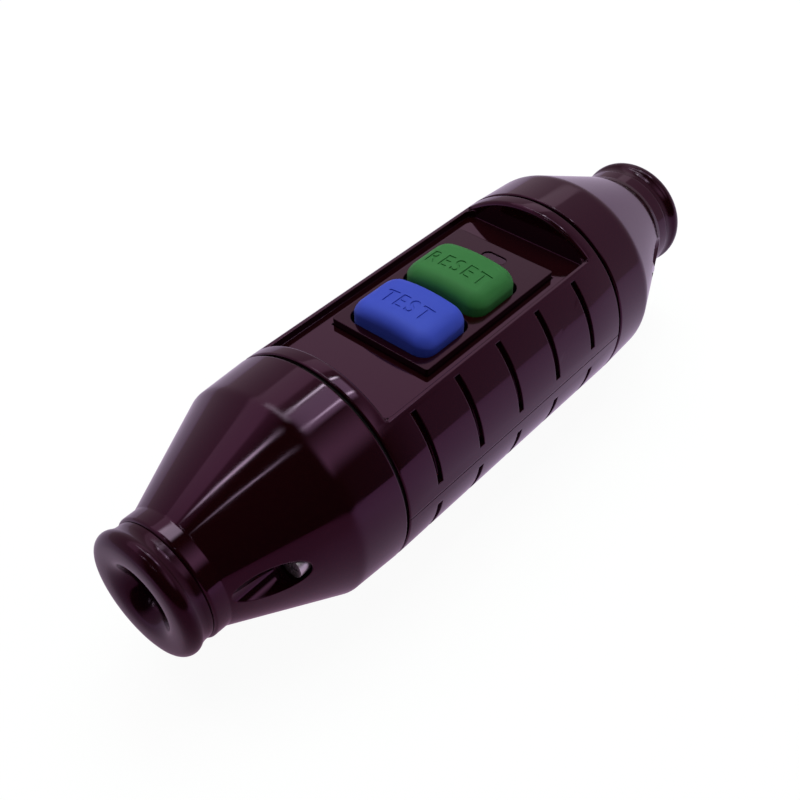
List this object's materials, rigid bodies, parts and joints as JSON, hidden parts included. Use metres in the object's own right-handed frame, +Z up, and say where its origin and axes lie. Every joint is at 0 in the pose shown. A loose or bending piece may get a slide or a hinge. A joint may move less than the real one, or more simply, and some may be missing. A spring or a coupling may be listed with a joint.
{
  "type": "in-line residual current device",
  "caption": "Round in-line residual current device with conical end caps, cable sleeves, a stepped grip, sprung TEST and RESET buttons and an indicator window.",
  "frame": {"origin": "on the surface that the unit lies on, under the middle of its body", "axes": "+X along the lead from the TEST end to the RESET end, +Z up out of the button face, y = 0 the middle plane"},
  "size_m": [0.22, 0.066, 0.066],
  "materials": {
    "shell": "glossy moulded plastic, very dark purple-brown",
    "plate": "glossy moulded plastic",
    "seal": "matte black rubber",
    "cable_sleeve": "smooth dark rubber with a polish",
    "screw_steel": "zinc plated",
    "spring_steel": "bright drawn wire",
    "magnet_steel": "nickel plated soft iron",
    "brass": "machined",
    "copper": "copper",
    "nylon": "natural nylon",
    "carrier": "moulded insulator",
    "grey_plastic": "moulded insulator",
    "board": "solder mask",
    "component": "moulded",
    "capacitor": "shrink sleeve",
    "ferrite": "sintered",
    "lens": "clear",
    "flag": "red",
    "test_key": "soft matte, blue",
    "reset_key": "soft matte, green"
  },
  "bodies": {
    "housing": {"body_sleeve": "shell", "test_end_cap": "shell", "reset_end_cap": "shell", "test_end_seal": "seal", "reset_end_seal": "seal", "test_end_cable_sleeve": "cable_sleeve", "reset_end_cable_sleeve": "cable_sleeve", "test_end_cap_screws": "screw_steel", "reset_end_cap_screws": "screw_steel", "chassis": "grey_plastic", "module_case": "plate", "module_base": "grey_plastic", "module_gasket": "seal", "module_screws": "screw_steel", "indicator_lens": "lens", "guide_plate": "grey_plastic", "circuit_board": "board", "test_switch": "component", "reset_switch": "component", "board_capacitors": "capacitor", "control_chip": "component", "transformer_core": "ferrite", "transformer_winding": "copper", "magnet_yoke": "magnet_steel", "magnet_bobbin": "nylon", "magnet_winding": "copper", "line_conductors": "copper", "load_conductors": "copper", "line_terminal_block": "nylon", "load_terminal_block": "nylon", "line_terminals": "brass", "load_terminals": "brass", "line_terminal_screws": "screw_steel", "load_terminal_screws": "screw_steel", "test_end_cord_clamp": "nylon", "reset_end_cord_clamp": "nylon", "test_end_clamp_screws": "screw_steel", "reset_end_clamp_screws": "screw_steel", "test_spring": "spring_steel", "reset_spring": "spring_steel", "contact_springs": "spring_steel"},
    "test_key": {"test_button": "test_key", "test_plunger": "nylon"},
    "reset_key": {"reset_button": "reset_key", "reset_plunger": "nylon"},
    "armature": {"armature": "magnet_steel"},
    "contact_carrier": {"contact_carrier": "carrier", "moving_contacts": "copper", "indicator_flag": "flag"}
  },
  "joints": [
    {"name": "test_press", "type": "slide", "parent": "housing", "child": "test_key", "axis": [0, 0, -1], "range_m": [0, 0.0025], "stiffness_N_per_m": 800, "springref_m": -0.002, "deforming": ["test_spring"]},
    {"name": "reset_press", "type": "slide", "parent": "housing", "child": "reset_key", "axis": [0, 0, -1], "range_m": [0, 0.0025], "stiffness_N_per_m": 800, "springref_m": -0.002, "deforming": ["reset_spring"]},
    {"name": "armature_pull", "type": "slide", "parent": "housing", "child": "armature", "axis": [1, 0, 0], "range_m": [0, 0.0025]},
    {"name": "carrier_lift", "type": "slide", "parent": "housing", "child": "contact_carrier", "axis": [0, 0, 1], "range_m": [0, 0.0025], "stiffness_N_per_m": 400, "springref_m": -0.001, "deforming": ["contact_springs"]}
  ],
  "couplings": [
    {"joint": "carrier_lift", "follows": "armature_pull", "ratio": 1}
  ]
}
